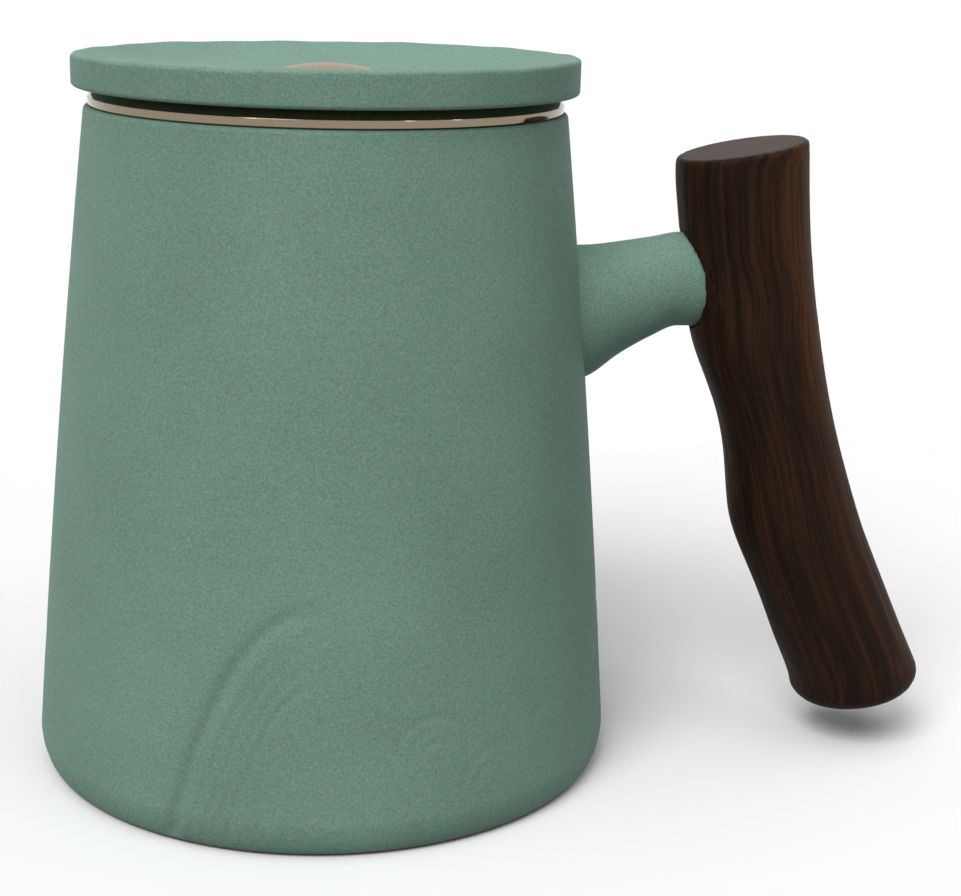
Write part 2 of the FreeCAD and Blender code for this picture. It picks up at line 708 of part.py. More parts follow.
lid = new_body("lid")
border_in = f"({LID_RADIUS} - Sizes.lid_border)"
dish_edge = f"({border_in} - Sizes.lid_slope)"
plug_low = f"({RIM_TOP} - Sizes.plug_depth)"
plug_in = f"({PLUG_OUT} - Sizes.plug_wall)"
low_round = "Sizes.lid_low_round"
turned(
    lid,
    "lid",
    ("0", RIM_TOP),
    [
        ((plug_in, RIM_TOP),),
        ((plug_in, f"{plug_low} + Sizes.plug_round"),),
        (
            quarter(plug_in, "+", plug_low, "+", "Sizes.plug_round"),
            (f"{plug_in} + Sizes.plug_round", plug_low),
        ),
        ((f"{PLUG_OUT} - Sizes.plug_round", plug_low),),
        (
            quarter(PLUG_OUT, "-", plug_low, "+", "Sizes.plug_round"),
            (PLUG_OUT, f"{plug_low} + Sizes.plug_round"),
        ),
        ((PLUG_OUT, RIM_TOP),),
        ((f"{LID_RADIUS} - {low_round}", RIM_TOP),),
        (
            quarter(LID_RADIUS, "-", RIM_TOP, "+", low_round),
            (LID_RADIUS, f"{RIM_TOP} + {low_round}"),
        ),
        ((LID_RADIUS, f"{LID_TOP} - Sizes.lid_top_round"),),
        (
            quarter(LID_RADIUS, "-", LID_TOP, "-", "Sizes.lid_top_round"),
            (f"{LID_RADIUS} - Sizes.lid_top_round", LID_TOP),
        ),
        ((border_in, LID_TOP),),
        (
            (f"{dish_edge} + Sizes.lid_slope / 2", f"{DISH_FLOOR} + Sizes.lid_recess / 4"),
            (dish_edge, DISH_FLOOR),
        ),
        (("0", DISH_FLOOR),),
    ],
)
badge_seat = new_sketch(lid, "badge_seat_circle", "XY_Plane", DISH_FLOOR)
circle(badge_seat, "0", "0", "Sizes.badge_radius + Sizes.badge_clearance")
doc.recompute()
seat_cut = lid.newObject("PartDesign::Pocket", "badge_seat_cut")
seat_cut.Profile = badge_seat
seat_cut.setExpression("Length", "Sizes.badge_sink")
doc.recompute()

badge = new_body("lid_badge")
badge_low = f"({DISH_FLOOR} - Sizes.badge_sink)"
badge_edge = f"({badge_low} + Sizes.badge_thickness)"
turned(
    badge,
    "badge",
    ("0", badge_low),
    [
        (("Sizes.badge_radius", badge_low),),
        (("Sizes.badge_radius", badge_edge),),
        (
            (
                "(Sizes.badge_radius + Sizes.badge_flat) / 2",
                f"{badge_edge} + Sizes.badge_crown * 3 / 4",
            ),
            ("Sizes.badge_flat", f"{badge_edge} + Sizes.badge_crown"),
        ),
        (("0", f"{badge_edge} + Sizes.badge_crown"),),
    ],
)

# Checks and export.

doc.recompute()
for item in doc.Objects:
    if "Invalid" in item.State or "Error" in item.State:
        raise RuntimeError(f"{item.Label}: {item.State}")

bodies = [item for item in doc.Objects if item.TypeId == "PartDesign::Body"]
for body in bodies:
    shape = body.Shape
    if shape.isNull() or not shape.isValid() or len(shape.Solids) != 1:
        raise RuntimeError(f"{body.Label} is not one valid solid")
    shape.exportStep(f"parts/{body.Label}.step")
    box = shape.optimalBoundingBox(False, False)
    print(
        f"{body.Label}: {shape.Volume:.0f} mm3,"
        f" x {box.XMin:.2f} to {box.XMax:.2f}, y {box.YMin:.2f} to {box.YMax:.2f},"
        f" z {box.ZMin:.2f} to {box.ZMax:.2f}"
    )
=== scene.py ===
"""Looks for the lidded tea mug: finer meshes over the CAD frame, materials, light and camera."""
import math

import bpy
import numpy as np
from mathutils import Matrix, Vector, noise


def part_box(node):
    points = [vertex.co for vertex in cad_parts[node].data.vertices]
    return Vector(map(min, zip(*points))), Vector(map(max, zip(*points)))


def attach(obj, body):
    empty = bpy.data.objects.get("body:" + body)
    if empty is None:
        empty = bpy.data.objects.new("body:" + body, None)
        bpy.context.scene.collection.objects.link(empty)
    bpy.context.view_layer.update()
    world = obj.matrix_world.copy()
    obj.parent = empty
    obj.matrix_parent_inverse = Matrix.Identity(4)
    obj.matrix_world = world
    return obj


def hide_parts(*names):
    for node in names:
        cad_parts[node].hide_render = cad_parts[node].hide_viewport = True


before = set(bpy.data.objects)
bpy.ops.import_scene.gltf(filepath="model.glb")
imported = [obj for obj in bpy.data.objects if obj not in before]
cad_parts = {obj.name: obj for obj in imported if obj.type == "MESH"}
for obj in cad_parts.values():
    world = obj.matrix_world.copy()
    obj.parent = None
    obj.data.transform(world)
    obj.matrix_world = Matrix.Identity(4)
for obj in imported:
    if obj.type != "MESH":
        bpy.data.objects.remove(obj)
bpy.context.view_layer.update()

scene = bpy.context.scene

MM = 0.001
TAU = 2 * math.pi


def reach(node, axis, side=1):
    """One face of a CAD node's box, in millimetres: the high one, or with side 0 the low one."""
    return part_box(node)[side][axis] / MM


# Sizes in millimetres. Those that the frame's boxes hold come from it.
MOUTH_HEIGHT = reach("mug_body", 2)
BASE_RADIUS = reach("mug_body", 0)
MOUTH_RADIUS = 40.0
BELLY_RADIUS = 45.4
BASE_ROUND_RISE = 5.8
BASE_ROUND_RUN = 2.2
FOOT_WIDTH = 4.6
FOOT_RECESS = 1.5
FOOT_SLOPE = 1.2
FOOT_CORNER = 0.6
FOOT_ROUND = 0.5
FOOT_OVERLAP = 0.35
WALL = 3.6
BELLY_EXTRA_WALL = 0.3
BASE_WALL = 4.3
FLOOR_HEIGHT = 5.4
FLOOR_ROUND = 7.0
LIP_ROUND = 0.8
# The darker brown band at the very bottom of the foot: its height, and the height over which it fades
# out.
FOOT_BAND_HEIGHT = 0.5
FOOT_BAND_FADE = 0.35
STUB_HEIGHT = 84.2
STUB_END = reach("handle_stub", 0)
LID_RADIUS = reach("lid", 0)
LID_TOP = reach("lid", 2)
RIM_TOP = reach("infuser_rim", 2)
BADGE_RADIUS = reach("lid_badge", 0)
BADGE_LOW = reach("lid_badge", 2, 0)
# Radius of the small ring that closes a turned shape on its axis.
POLE_RADIUS = 0.01


# Meshes.

def finish_object(name, mesh, body):
    """Puts a smooth mesh into the scene as a piece of the object, with its body."""
    obj = bpy.data.objects.new(name, mesh)
    scene.collection.objects.link(obj)
    mesh.polygons.foreach_set("use_smooth", np.ones(len(mesh.polygons), bool))
    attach(obj, body)
    return obj


def rings_to_mesh(name, rings, cap_first=False, cap_last=False):
    """A mesh through rings of points, an array of rings by points by 3, in millimetres."""
    count, around = rings.shape[:2]
    low = np.arange(count - 1)[:, None] * around
    step = np.arange(around)[None, :]
    following = (step + 1) % around
    quads = np.stack([low + step, low + following, low + around + following, low + around + step], -1)
    faces = quads.reshape(-1, 4).tolist()
    if cap_first:
        faces.append(list(range(around))[::-1])
    if cap_last:
        faces.append([(count - 1) * around + i for i in range(around)])
    mesh = bpy.data.meshes.new(name)
    mesh.from_pydata((rings.reshape(-1, 3) * MM).tolist(), [], faces)
    mesh.update()
    return mesh


def turn(profile, around):
    """Bearing, radius and height of the points of a profile turned round the Z axis, ring by ring."""
    profile = np.array(profile)
    bearing = np.linspace(0, TAU, around, endpoint=False)
    angle = np.repeat(bearing[None, :], len(profile), 0)
    radius = np.repeat(profile[:, 0:1], around, 1)
    height = np.repeat(profile[:, 1:2], around, 1)
    return angle, radius, height


def turned_mesh(name, angle, radius, height, capped=True):
    """The mesh of a turned shape. Bearings run from the front to the right."""
    rings = np.stack([radius * np.sin(angle), -radius * np.cos(angle), height], -1)
    return rings_to_mesh(name, rings, cap_first=capped, cap_last=capped)


def arc(centre, across, up, start, end, steps):
    """Points of an ellipse's arc, from start to end in degrees."""
    angles = np.radians(np.linspace(start, end, steps))
    return [(centre[0] + across * math.cos(a), centre[1] + up * math.sin(a)) for a in angles]


def rounding(centre, radius, start, end, steps):
    """Points of a circle's arc, from start to end in degrees."""
    return arc(centre, radius, radius, start, end, steps)


def level(height, first, last, steps):
    """Points of a level face, from its first radius to its last."""
    return [(radius, height) for radius in np.linspace(first, last, steps)]


def smooth_step(value, low, high):
    """0 below low, 1 above high, smooth between them."""
    share = np.clip((value - low) / (high - low), 0, 1)
    return share * share * (3 - 2 * share)


def wall_curve(low, low_radius, belly_radius, lip_radius):
    """A shallow curve of radius over height, from a low end through the belly to the lip."""
    heights = [low, (low + MOUTH_HEIGHT) / 2, MOUTH_HEIGHT - LIP_ROUND]
    return np.polyfit(heights, [low_radius, belly_radius, lip_radius], 2)


OUTER_CURVE = wall_curve(BASE_ROUND_RISE, BASE_RADIUS, BELLY_RADIUS, MOUTH_RADIUS)


def wall_radius(height):
    """Outer radius of the mug's plain wall at a height."""
    return np.polyval(OUTER_CURVE, height)


# Relief on the mug.

# Hills round the lower wall: bearing in degrees from the front, and in millimetres the crest's
# height, half the width at the foot, and how deep the groove is on the crest's left and right.
HILLS = [
    (-1.5, 40.0, 24.7, 0.68, 0.02),
    (88.0, 29.0, 21.0, 0.12, 0.40),
    (118.0, 37.0, 26.0, 0.45, 0.30),
    (168.0, 27.0, 19.0, 0.25, 0.45),
    (214.0, 38.0, 25.0, 0.50, 0.20),
    (262.0, 30.0, 22.0, 0.45, 0.15),
]
HILL_POWER = 2.2
# How far from its middle a hill is drawn, as a share of its half width.
HILL_REACH = 1.25
# Where the groove's depth passes from its left value to its right one.
SIDE_BLEND = (-9.0, 4.0)
CREST_GROOVE = 1.2
# Heights between which the groove gets shallower, and how much shallower it gets.
CREST_FADE = (24.0, 39.0)
CREST_FADE_SHARE = 0.5
# The swell inside the contour: its height, where it rises, and how fast it dies away.
SWELL = 0.10
SWELL_RISE = (0.3, 3.0)
SWELL_FALL = 9.0
# Terraces inside the contour: distances from it, and heights between which they fade out.
TERRACES = (3.6, 6.2, 8.8, 11.6)
TERRACE_DEPTH = 0.17
TERRACE_WIDTH = 0.85
TERRACE_FADE = (23.0, 37.0)
# A groove of this depth has its swell and terraces at full strength.
FULL_GROOVE = 0.6
# Small nested arcs: bearing, height of their centre, radii, groove depth.
ARCS = [
    (20.5, 16.2, (6.0, 4.0, 2.1), 0.12),
    (34.0, 9.0, (6.4, 4.3), 0.08),
    (-33.0, 14.2, (4.4, 2.4), 0.05),
    (49.0, 15.0, (4.6, 2.6), 0.05),
    (143.0, 13.0, (6.0, 4.0, 2.2), 0.16),
    (190.0, 11.0, (5.6, 3.6), 0.16),
    (238.0, 14.0, (6.0, 4.0, 2.2), 0.16),
]
ARC_GROOVE = 0.8
# Heights from the arcs' centre between which they fade in.
ARC_RISE = (-3.0, 1.5)
# The swell inside the largest arc: its height, and where it starts and is full.
ARC_SWELL = 0.06
ARC_SWELL_OUTSIDE = 0.8
ARC_SWELL_INSIDE = 1.2
# Heights between which the whole relief fades in over the foot.
FOOT_FADE = (0.3, 2.5)


def along_wall(bearing, height, centre):
    """Distance along the wall from a bearing of centre degrees."""
    turned = (bearing - math.radians(centre) + math.pi) % TAU - math.pi
    return turned * wall_radius(height)


def hill_relief(bearing, height, centre, crest, half_width, left, right):
    """One hill: a groove along its contour, and a swell with terraces inside."""
    along = along_wall(bearing, height, centre)
    edge = np.abs(along) / half_width
    line = crest * (1 - edge**HILL_POWER)
    slope = crest * HILL_POWER * edge ** (HILL_POWER - 1) / half_width
    inside = (line - height) / np.sqrt(1 + slope**2)
    weight = left + (right - left) * smooth_step(along, *SIDE_BLEND)
    weight = weight * (1 - CREST_FADE_SHARE * smooth_step(height, *CREST_FADE))
    strength = np.clip(weight / FULL_GROOVE, 0, 1)
    groove = np.exp(-((inside / CREST_GROOVE) ** 2)) * weight
    swell = SWELL * smooth_step(inside, *SWELL_RISE) * np.exp(-np.maximum(inside, 0) / SWELL_FALL)
    steps = sum(np.exp(-(((inside - place) / TERRACE_WIDTH) ** 2)) for place in TERRACES)
    steps = steps * (1 - smooth_step(height, *TERRACE_FADE))
    out = swell * strength - groove - TERRACE_DEPTH * steps * strength
    return np.where(edge < HILL_REACH, out, 0)


def relief(bearing, height):
    """How far the glazed wall stands out past its plain form, in millimetres."""
    out = sum(hill_relief(bearing, height, *hill) for hill in HILLS)
    for centre, middle, radii, depth in ARCS:
        distance = np.hypot(along_wall(bearing, height, centre), height - middle)
        upper = smooth_step(height - middle, *ARC_RISE)
        for radius in radii:
            out -= depth * np.exp(-(((distance - radius) / ARC_GROOVE) ** 2)) * upper
        outer = -radii[0]
        swell = smooth_step(-distance, outer - ARC_SWELL_OUTSIDE, outer + ARC_SWELL_INSIDE)
        out += ARC_SWELL * swell * upper
    return out * smooth_step(height, *FOOT_FADE)


# Mug body.

MUG_AROUND = 660
WALL_STEP = 0.5
# First ring of the underside, and the gap from its last ring to the recess's corner.
UNDERSIDE_START = 8.0
UNDERSIDE_GAP = 0.4
# First ring of the inner wall below the mouth, and the floor's first and last rings.
INNER_START = 3.0
FLOOR_GAP = 4.0
FLOOR_END = 4.0


def make_mug():
    """The stoneware shell, with the relief in its outer wall."""
    foot_out = BASE_RADIUS - BASE_ROUND_RUN
    foot_in = foot_out - FOOT_WIDTH
    slope_in = foot_in - FOOT_SLOPE
    foot = [(POLE_RADIUS, FOOT_RECESS)]
    foot += level(FOOT_RECESS, UNDERSIDE_START, slope_in - UNDERSIDE_GAP, 5)
    foot += rounding((slope_in, FOOT_RECESS - FOOT_CORNER), FOOT_CORNER, 90, 0, 5)
    foot += rounding((foot_in + FOOT_ROUND, FOOT_ROUND), FOOT_ROUND, 180, 270, 5)
    foot += [(foot_in + FOOT_WIDTH / 2, 0.0)]

    centre = (foot_out - FOOT_OVERLAP, BASE_ROUND_RISE)
    outside = arc(centre, BASE_ROUND_RUN + FOOT_OVERLAP, BASE_ROUND_RISE, -90, -2, 22)
    lip_height = MOUTH_HEIGHT - LIP_ROUND
    heights = np.arange(BASE_ROUND_RISE, lip_height, WALL_STEP)
    outside += [(float(wall_radius(z)), float(z)) for z in heights]

    bore = MOUTH_RADIUS - WALL
    lip = rounding((MOUTH_RADIUS - LIP_ROUND, lip_height), LIP_ROUND, 0, 90, 7)
    lip += rounding((bore + LIP_ROUND, lip_height), LIP_ROUND, 90, 180, 7)

    floor_in = BASE_RADIUS - BASE_WALL
    floor_edge = floor_in - FLOOR_ROUND
    floor_top = FLOOR_HEIGHT + FLOOR_ROUND
    curve = wall_curve(floor_top, floor_in, BELLY_RADIUS - WALL - BELLY_EXTRA_WALL, bore)
    heights = np.linspace(MOUTH_HEIGHT - INNER_START, floor_top, 30)
    inner = [(float(np.polyval(curve, z)), float(z)) for z in heights]
    inner += rounding((floor_edge, floor_top), FLOOR_ROUND, 0, -90, 10)[1:]
    inner += level(FLOOR_HEIGHT, floor_edge - FLOOR_GAP, FLOOR_END, 5)
    inner += [(POLE_RADIUS, FLOOR_HEIGHT)]

    angle, radius, height = turn(foot + outside + lip + inner, MUG_AROUND)
    glazed = slice(len(foot), len(foot) + len(outside))
    radius[glazed] += relief(angle[glazed], height[glazed])
    mesh = turned_mesh("mug_shell", angle, radius, height)
    return finish_object("mug_shell", mesh, "mug")


# Ceramic stub.

# Stations of the stub: distance from the outer wall, drop below the axis, half width, half height.
STUB = np.array(
    [
        (-2.5, 6.7, 10.2, 12.2),
        (3.0, 5.6, 9.4, 11.3),
        (7.7, 3.5, 8.3, 9.85),
        (13.0, 1.5, 7.4, 8.7),
        (18.1, 0.0, 7.0, 8.1),
        (22.1, 0.0, 7.0, 8.1),
    ]
)
STUB_START = 0.2
STUB_RINGS = 56
STUB_AROUND = 96
# How deep the stub's first ring lies in the wall, and the least step from ring to ring there.
STUB_DEPTH = 0.8
STUB_RING_STEP = 0.02


def smooth_curve(places, values, wanted):
    """A smooth curve through the values, by monotone cubic pieces."""
    gaps = np.diff(places)
    slopes = np.diff(values) / gaps
    tangents = np.zeros(len(places))
    tangents[1:-1] = np.where(slopes[:-1] * slopes[1:] > 0, (slopes[:-1] + slopes[1:]) / 2, 0)
    tangents[0] = slopes[0]
    tangents[-1] = slopes[-1]
    index = np.clip(np.searchsorted(places, wanted) - 1, 0, len(gaps) - 1)
    share = (wanted - places[index]) / gaps[index]
    first, last = values[index], values[index + 1]
    line = (1 + 2 * share) * (1 - share) ** 2 * first + share**2 * (3 - 2 * share) * last
    bend = share * (1 - share) ** 2 * tangents[index] - share**2 * (1 - share) * tangents[index + 1]
    return line + gaps[index] * bend


def make_stub():
    """The ceramic stub, from just inside the wall to its flat end in the grip."""
    places, *measures = STUB.T
    along = np.linspace(places[0] + STUB_START, places[-1], STUB_RINGS)
    curves = [smooth_curve(places, values, along)[:, None] for values in measures]
    drop, half_width, half_height = curves
    around = np.linspace(0, TAU, STUB_AROUND, endpoint=False)[None, :]
    y = half_width * np.cos(around)
    z = STUB_HEIGHT - drop + half_height * np.sin(around)
    x = np.repeat((STUB_END - places[-1] + along)[:, None], STUB_AROUND, 1)
    in_wall = np.sqrt((wall_radius(z) - STUB_DEPTH) ** 2 - y**2)
    x = np.maximum(x, in_wall - STUB_RING_STEP * np.arange(STUB_RINGS)[::-1, None])
    mesh = rings_to_mesh("stub_shell", np.stack([x, y, z], -1), cap_last=True)
    obj = finish_object("stub_shell", mesh, "mug")
    mesh.polygons[len(mesh.polygons) - 1].use_smooth = False
    return obj


# Lid.

LID_AROUND = 480
LID_BORDER = 1.4
LID_SLOPE = 15.0
LID_RECESS = 2.7
LID_TOP_ROUND = 0.7
LID_LOW_ROUND = 0.7
PLUG_RADIUS = 34.0
PLUG_WALL = 3.2
PLUG_ROUND = 0.9
PLUG_CORNER = 0.6
# The small chamfer where the plug meets the lid's level seat.
PLUG_SEAT_RUN = 0.4
PLUG_SEAT_DROP = 0.02
# Gaps from the rings of a level face to the edges beside it.
LID_LOW_GAP = 2.0
DISH_OUTER_GAP = 3.0
DISH_INNER_GAP = 1.5
BADGE_CLEARANCE = 0.1
BADGE_CHAMFER = 0.1
# The lid's edge stands a little high all round, and most towards one bearing.
LID_RISE = 0.2
LID_WEDGE = 0.42
LID_WEDGE_BEARING = math.radians(62.0)
# Waves of the edge: height, number round the edge, phase.
LID_WAVES = ((0.05, 5, 1.0), (0.05, 11, 2.2), (0.04, 23, 0.0))
# Radii, and distances from the seat and the top, between which the edge's unevenness fades in.
LID_UNEVEN_RADII = (28.0, 39.0)
LID_UNEVEN_LOW = 1.0
LID_UNEVEN_HIGH = 1.4


def lid_underside():
    """The lid's underside, from the axis out: the plug's hollow, the plug and the level seat."""
    plug_in = PLUG_RADIUS - PLUG_WALL
    corner = plug_in - PLUG_CORNER
    low = reach("lid", 2, 0) + PLUG_ROUND
    points = [(POLE_RADIUS, RIM_TOP), (plug_in * 0.5, RIM_TOP), (corner, RIM_TOP)]
    points += rounding((corner, RIM_TOP - PLUG_CORNER), PLUG_CORNER, 90, 0, 4)[1:]
    points += rounding((plug_in + PLUG_ROUND, low), PLUG_ROUND, 180, 270, 6)
    points += rounding((PLUG_RADIUS - PLUG_ROUND, low), PLUG_ROUND, 270, 360, 6)
    points += [(PLUG_RADIUS, RIM_TOP - PLUG_SEAT_DROP), (PLUG_RADIUS + PLUG_SEAT_RUN, RIM_TOP)]
    points += [(LID_RADIUS - LID_LOW_ROUND - LID_LOW_GAP, RIM_TOP)]
    return points


def lid_edge():
    """The lid's outer edge, from its underside up to its border."""
    low = RIM_TOP + LID_LOW_ROUND
    high = LID_TOP - LID_TOP_ROUND
    points = rounding((LID_RADIUS - LID_LOW_ROUND, low), LID_LOW_ROUND, -90, 0, 9)
    points += [(LID_RADIUS, z) for z in np.linspace(low, high, 6)[1:-1]]
    points += rounding((LID_RADIUS - LID_TOP_ROUND, high), LID_TOP_ROUND, 0, 90, 9)
    return points


def lid_dish():
    """The lid's top: the curved slope down from its border, the level dish and the badge's seat."""
    dish = LID_TOP - LID_RECESS
    border_in = LID_RADIUS - LID_BORDER
    seat = BADGE_RADIUS + BADGE_CLEARANCE
    points = [
        (border_in - LID_SLOPE * share, dish + LID_RECESS * (1 - share) ** 2)
        for share in np.linspace(0, 1, 24)
    ]
    points += level(dish, border_in - LID_SLOPE - DISH_OUTER_GAP, seat + DISH_INNER_GAP, 12)
    points += [(seat + BADGE_CHAMFER, dish), (seat, dish - BADGE_CHAMFER), (seat, BADGE_LOW)]
    points += [(seat * 0.5, BADGE_LOW), (POLE_RADIUS, BADGE_LOW)]
    return points


def make_lid():
    """The lid, with the slightly uneven edge of a hand-finished one."""
    angle, radius, height = turn(lid_underside() + lid_edge() + lid_dish(), LID_AROUND)
    uneven = sum(size * np.sin(waves * angle + phase) for size, waves, phase in LID_WAVES)
    wedge = LID_RISE + LID_WEDGE * np.cos(angle - LID_WEDGE_BEARING)
    upper = smooth_step(height, RIM_TOP + LID_UNEVEN_LOW, LID_TOP - LID_UNEVEN_HIGH)
    height = height + (uneven + wedge) * (smooth_step(radius, *LID_UNEVEN_RADII) * upper)
    mesh = turned_mesh("lid_shell", angle, radius, height)
    return finish_object("lid_shell", mesh, "lid")


# Infuser's rim.

RIM_AROUND = 360
RIM_RADIUS = reach("infuser_rim", 0)
RIM_LOW = reach("infuser_rim", 2, 0)
RIM_SHEET = 0.5
RIM_SEAT_GAP = 0.05
# The step where the neck meets the rim's underside, and the round inside the rim's top.
RIM_STEP = 0.5
RIM_INNER_ROUND = 0.9
# The upright band, and the round at its lower edge: its centre, and its radii across and up.
RIM_BAND = 1.5
BAND_LOW_IN = 0.45
BAND_LOW_UP = 0.35
BAND_LOW_ACROSS = 0.4
# The crease over the band: points as distances in from the rim's radius and below the band's top.
BAND_CREASE = ((0.0, 0.25), (0.03, 0.08))
RIM_BEAD_RUN = 3.0
RIM_BEAD_INSET = 0.1
RIM_BEAD_START = 30.0
NECK_CLEARANCE = 0.8
NECK_RADIUS = MOUTH_RADIUS - WALL - NECK_CLEARANCE


def make_rim():
    """The polished rim: a rounded shoulder over an upright band, and the neck below them."""
    low = MOUTH_HEIGHT + RIM_SEAT_GAP
    band_top = low + RIM_BAND
    neck_in = NECK_RADIUS - RIM_SHEET
    start = math.radians(RIM_BEAD_START)
    bead_across = (RIM_BEAD_RUN - RIM_BEAD_INSET) / math.cos(start)
    bead_up = (RIM_TOP - band_top) / (1 - math.sin(start))
    bead_centre = (RIM_RADIUS - RIM_BEAD_RUN, RIM_TOP - bead_up)
    inner_centre = (neck_in + RIM_INNER_ROUND, RIM_TOP - RIM_INNER_ROUND)

    profile = [(NECK_RADIUS, RIM_LOW), (NECK_RADIUS, low + RIM_STEP)]
    profile += [(NECK_RADIUS + RIM_STEP, low + RIM_STEP), (NECK_RADIUS + RIM_STEP, low)]
    profile += [(RIM_RADIUS - RIM_STEP, low)]
    profile += arc((RIM_RADIUS - BAND_LOW_IN, low + BAND_LOW_UP), BAND_LOW_ACROSS, BAND_LOW_UP, -80, 0, 5)
    profile += [(RIM_RADIUS - inward, band_top - down) for inward, down in BAND_CREASE]
    profile += arc(bead_centre, bead_across, bead_up, RIM_BEAD_START, 90, 14)
    profile += [(inner_centre[0], RIM_TOP)]
    profile += rounding(inner_centre, RIM_INNER_ROUND, 90, 180, 8)[1:]
    profile += [(neck_in, RIM_LOW), (NECK_RADIUS, RIM_LOW)]
    mesh = turned_mesh("rim_shell", *turn(profile, RIM_AROUND), capped=False)
    return finish_object("rim_shell", mesh, "infuser")


# Badge in the lid.

BADGE_AROUND = 144
BADGE_EDGE = 1.15
BADGE_CROWN = 0.75
BADGE_ROUND = 0.2
# Where the crown starts, as a share of the radius inside the rounded edge.
BADGE_CROWN_START = 0.93


def make_badge():
    """The plain crowned badge, let into the middle of the dish."""
    edge = BADGE_LOW + BADGE_EDGE
    crown = BADGE_RADIUS - BADGE_ROUND
    side = edge - BADGE_ROUND
    profile = [(POLE_RADIUS, BADGE_LOW), (BADGE_RADIUS, BADGE_LOW), (BADGE_RADIUS, side)]
    profile += rounding((crown, side), BADGE_ROUND, 0, 80, 5)[1:]
    profile += [
        (crown * share, edge + BADGE_CROWN * (1 - share**2))
        for share in np.linspace(BADGE_CROWN_START, 0.0, 14)[:-1]
    ]
    profile += [(POLE_RADIUS, edge + BADGE_CROWN)]
    mesh = turned_mesh("badge_shell", *turn(profile, BADGE_AROUND))
    return finish_object("badge_shell", mesh, "lid")


# Wooden grip.

GRIP_VOXEL = 0.45
# The grip's middle is found in this many slices, from the points this near to each, in millimetres.
GRIP_SLICES = 28
SLICE_REACH = 3
# Grain in the mesh: depth in millimetres, and noise scales per metre across and along the grip.
GRAIN = ((0.11, (330, 330, 22)), (0.05, (1500, 1500, 45)))
# The grain fades out on faces that look up or down: slope and shift of that fade.
END_FADE_SLOPE = 1.6
END_FADE_SHIFT = 0.6
# The band of sapwood: half its width and its middle, in radians round the grip, how much its edge
# wavers and softens, the noise of that waver, and the heights in metres between which it appears.
SAPWOOD_BEARING = math.radians(38.0)
SAPWOOD_MIDDLE = -0.35
SAPWOOD_WAVER = 0.25
SAPWOOD_SOFTNESS = 0.10
SAPWOOD_NOISE = (26, 0, 0)
SAPWOOD_NOISE_PLACE = (0.0, 3.1, 0.7)
SAPWOOD_RISE = (0.052, 0.078)
SAPWOOD_LOW_SHARE = 0.25


def remeshed(node, name):
    """An even, fine copy of a CAD node's mesh."""
    copy = bpy.data.objects.new("copy", node.data.copy())
    scene.collection.objects.link(copy)
    remesh = copy.modifiers.new("voxels", "REMESH")
    remesh.mode = "VOXEL"
    remesh.voxel_size = GRIP_VOXEL * MM
    graph = bpy.context.evaluated_depsgraph_get()
    mesh = bpy.data.meshes.new_from_object(copy.evaluated_get(graph))
    mesh.name = name
    bpy.data.objects.remove(copy)
    return mesh


def read_vectors(mesh, kind):
    """The place or the normal of each of a mesh's vertices."""
    values = np.empty(len(mesh.vertices) * 3)
    mesh.vertices.foreach_get(kind, values)
    return values.reshape(-1, 3)


def noise_at(places):
    """Smooth noise at each place."""
    return np.array([noise.noise(Vector(place)) for place in places.tolist()])


def grip_shift(points):
    """How far each point lies from the grip's middle at its height, along X."""
    heights = np.linspace(points[:, 2].min(), points[:, 2].max(), GRIP_SLICES)
    centres = []
    for z in heights:
        near = points[np.abs(points[:, 2] - z) < SLICE_REACH * MM]
        centres.append((near[:, 0].min() + near[:, 0].max()) / 2)
    return points[:, 0] - np.interp(points[:, 2], heights, centres)


def sapwood_share(place):
    """How much of the pale sapwood shows at each place on the grip."""
    waver = noise_at(np.outer(place[:, 2], SAPWOOD_NOISE) + SAPWOOD_NOISE_PLACE)
    edge = SAPWOOD_BEARING + SAPWOOD_WAVER * waver
    bearing = np.arctan2(place[:, 1], place[:, 0])
    band = 1 - smooth_step(np.abs(bearing - SAPWOOD_MIDDLE), edge, edge + SAPWOOD_SOFTNESS)
    upper = smooth_step(place[:, 2], *SAPWOOD_RISE)
    return band * (SAPWOOD_LOW_SHARE + (1 - SAPWOOD_LOW_SHARE) * upper)


def make_grip():
    """The wooden grip: the CAD form, remeshed finely and given its grain."""
    mesh = remeshed(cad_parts["handle_grip"], "grip_wood")
    points = read_vectors(mesh, "co")
    normals = read_vectors(mesh, "normal")
    place = np.stack([grip_shift(points), points[:, 1], points[:, 2]], -1)
    side = 1 - np.clip(np.abs(normals[:, 2]) * END_FADE_SLOPE - END_FADE_SHIFT, 0, 1)
    depth = sum(size * noise_at(place * scales) for size, scales in GRAIN)
    points = points + normals * (depth * side)[:, None] * MM
    mesh.vertices.foreach_set("co", points.reshape(-1))

    place[:, 1:] = points[:, 1:]
    sapwood = mesh.attributes.new("sapwood", "FLOAT", "POINT")
    sapwood.data.foreach_set("value", sapwood_share(place).astype(np.float32))
    grain_place = mesh.attributes.new("grain_place", "FLOAT_VECTOR", "POINT")
    grain_place.data.foreach_set("vector", place.reshape(-1).astype(np.float32))
    mesh.update()
    return finish_object("grip_wood", mesh, "mug")


# Shader nodes.

# A Mix node's sockets by its kind of data: factor, first value, second value and result.
MIX_SOCKETS = {"RGBA": (0, 6, 7, 2), "FLOAT": (0, 2, 3, 0)}


def feed(socket, value):
    """Links an input socket to the output socket that feeds it, or sets it to a plain value."""
    if isinstance(value, bpy.types.NodeSocket):
        socket.id_data.links.new(value, socket)
    else:
        socket.default_value = value


def set_inputs(node, **inputs):
    """Feeds a node's input sockets by name."""
    for key, value in inputs.items():
        feed(node.inputs[key.replace("_", " ")], value)


def add(tree, kind, **inputs):
    """Adds a shader node and feeds its input sockets by name."""
    node = tree.nodes.new(kind)
    set_inputs(node, **inputs)
    return node


